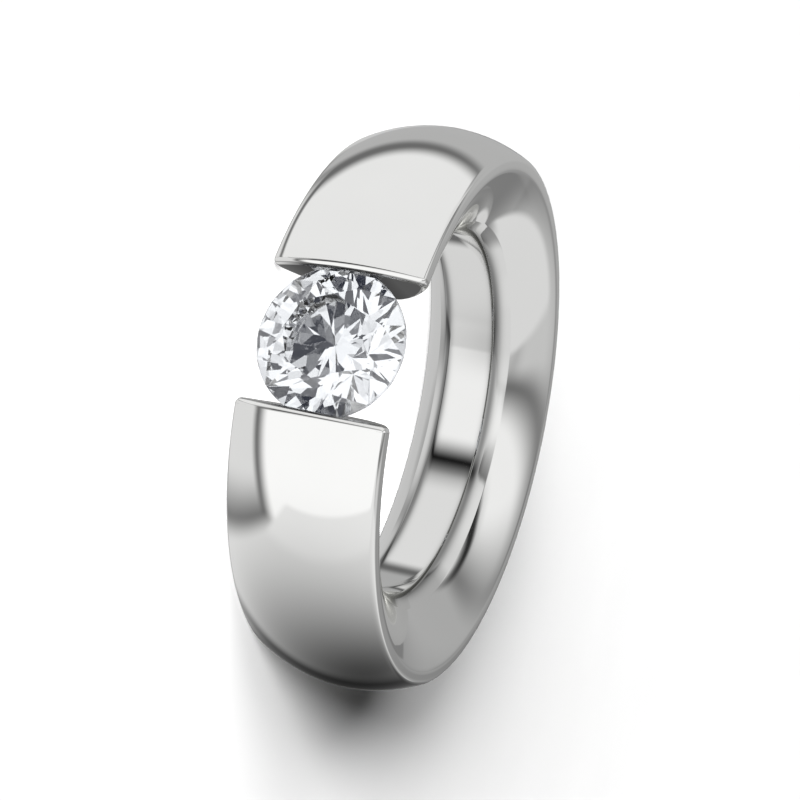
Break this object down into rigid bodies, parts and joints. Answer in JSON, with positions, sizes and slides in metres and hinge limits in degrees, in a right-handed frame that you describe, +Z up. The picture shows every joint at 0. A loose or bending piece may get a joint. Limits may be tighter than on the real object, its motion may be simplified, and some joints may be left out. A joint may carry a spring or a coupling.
{
  "type": "cubic zirconia ring",
  "caption": "Wide polished white-metal finger ring, open at the top, with a round brilliant clear stone gripped between the two ends of the band.",
  "frame": {"origin": "on the axis of the finger hole, at the lower rim, which is the surface that the ring lies on", "axes": "+Z along the finger hole, up; -Y from the axis of the hole out through the stone; +X to the right when the stone is looked at with +Z up"},
  "size_m": [0.0262, 0.0259, 0.0068],
  "materials": {
    "metal": "mirror polished",
    "stone": "clear, faceted and polished"
  },
  "bodies": {
    "root": {"band": "metal", "stone": "stone"}
  },
  "joints": []
}
